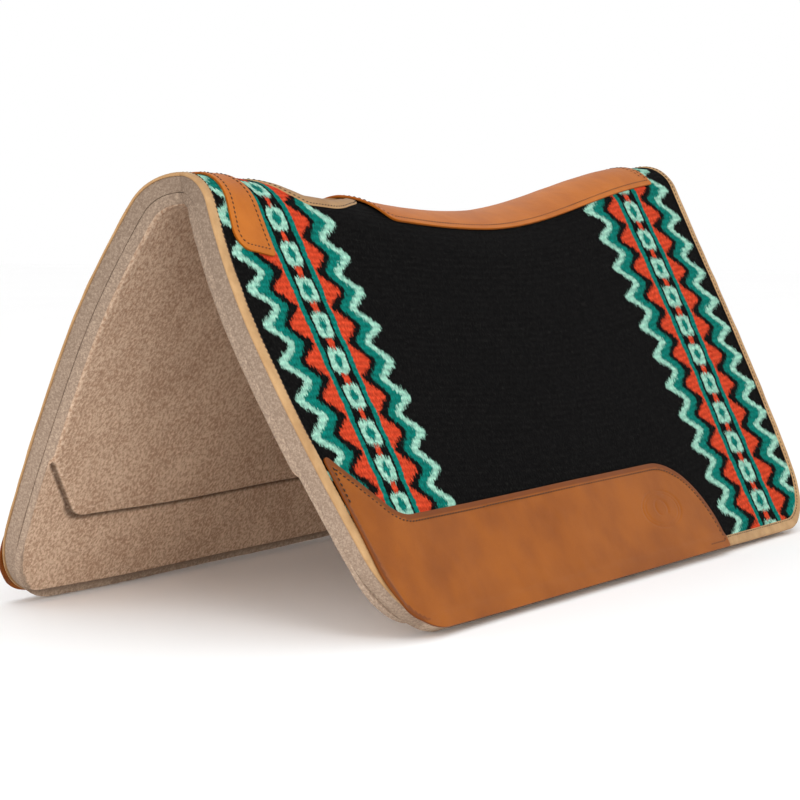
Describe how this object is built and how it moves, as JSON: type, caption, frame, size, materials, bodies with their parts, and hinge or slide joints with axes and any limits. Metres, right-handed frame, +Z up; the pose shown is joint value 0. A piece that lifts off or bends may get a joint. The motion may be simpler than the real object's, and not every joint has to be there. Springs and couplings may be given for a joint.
{
  "type": "saddle pad",
  "caption": "Contoured western saddle pad with felt layers, woven wool top, leather wear pieces and side flaps that fold.",
  "frame": {"origin": "middle of the bounding box's base, on the level line where the two lower edges rest", "axes": "+Z up, -Y towards the withers at the front, +X towards the horse's left flap"},
  "size_m": [0.4002, 0.8219, 0.3532],
  "materials": {
    "woven_wool": "woven wool blanket, black with teal, mint and red stripes",
    "grey_felt": "pressed wool felt, grey, cut edge",
    "brown_felt": "pressed wool felt, mottled brown, fuzzy face",
    "foam": "closed-cell foam sheet, hidden",
    "binding_leather": "soft golden tan leather strip",
    "tan_leather": "smooth orange-tan leather, satin",
    "brown_thread": "waxed brown thread"
  },
  "bodies": {
    "crown": {"crown_blanket": "woven_wool", "crown_felt_core": "grey_felt", "crown_felt_liner": "brown_felt", "crown_insert": "foam", "crown_front_binding": "binding_leather", "crown_rear_binding": "binding_leather", "slot_binding": "binding_leather", "wither_leather": "tan_leather", "spine_leather": "tan_leather", "wither_stitching": "brown_thread", "spine_stitching": "brown_thread", "slot_stitching": "brown_thread", "crown_binding_stitching": "brown_thread"},
    "left_flap": {"left_blanket": "woven_wool", "left_felt_core": "grey_felt", "left_felt_liner": "brown_felt", "left_insert": "foam", "left_edge_binding": "binding_leather", "left_wear_leather": "tan_leather", "left_wear_stitching": "brown_thread", "left_binding_stitching": "brown_thread"},
    "right_flap": {"right_blanket": "woven_wool", "right_felt_core": "grey_felt", "right_felt_liner": "brown_felt", "right_insert": "foam", "right_edge_binding": "binding_leather", "right_wear_leather": "tan_leather", "right_wear_stitching": "brown_thread", "right_binding_stitching": "brown_thread"}
  },
  "joints": [
    {"name": "left_fold", "type": "hinge", "parent": "crown", "child": "left_flap", "pos_m": [0.05684, 0, 0.25897], "axis": [0, -1, 0], "range_deg": [-30, 50]},
    {"name": "right_fold", "type": "hinge", "parent": "crown", "child": "right_flap", "pos_m": [-0.05684, 0, 0.25897], "axis": [0, 1, 0], "range_deg": [-30, 50]}
  ]
}
